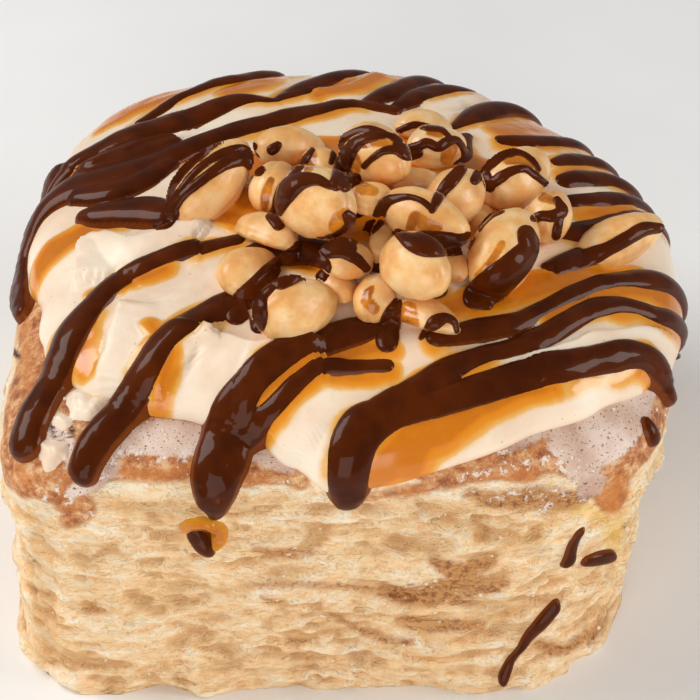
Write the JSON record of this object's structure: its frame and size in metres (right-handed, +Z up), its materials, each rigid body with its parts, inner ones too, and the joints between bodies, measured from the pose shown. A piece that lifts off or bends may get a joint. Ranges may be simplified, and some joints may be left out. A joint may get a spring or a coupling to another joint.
{
  "type": "cinnamon roll",
  "caption": "Tall pull-apart cinnamon roll with torn sides, a thick cream frosting cap crossed by chocolate strands, and a heap of roasted peanuts on top",
  "frame": {"origin": "centre of the whole piece seen from above, on the surface it stands on", "axes": "+Z up, the torn front with the longest chocolate drips faces -Y, +X to the right seen from that front"},
  "size_m": [0.1064, 0.1052, 0.0719],
  "materials": {
    "bread": "matte, soft torn crumb",
    "frosting": "satin, whipped cream cheese",
    "peanut": "satin, oily roasted kernel"
  },
  "bodies": {
    "root": {"bread": "bread", "frosting": "frosting", "peanut_01": "peanut", "peanut_02": "peanut", "peanut_03": "peanut", "peanut_04": "peanut", "peanut_05": "peanut", "peanut_06": "peanut", "peanut_07": "peanut", "peanut_08": "peanut", "peanut_09": "peanut", "peanut_10": "peanut", "peanut_11": "peanut", "peanut_12": "peanut", "peanut_13": "peanut", "peanut_14": "peanut", "peanut_15": "peanut", "peanut_16": "peanut", "peanut_17": "peanut", "peanut_18": "peanut", "peanut_19": "peanut", "peanut_20": "peanut", "peanut_21": "peanut", "peanut_22": "peanut", "peanut_23": "peanut", "peanut_24": "peanut", "peanut_25": "peanut", "peanut_26": "peanut", "peanut_27": "peanut"}
  },
  "joints": []
}
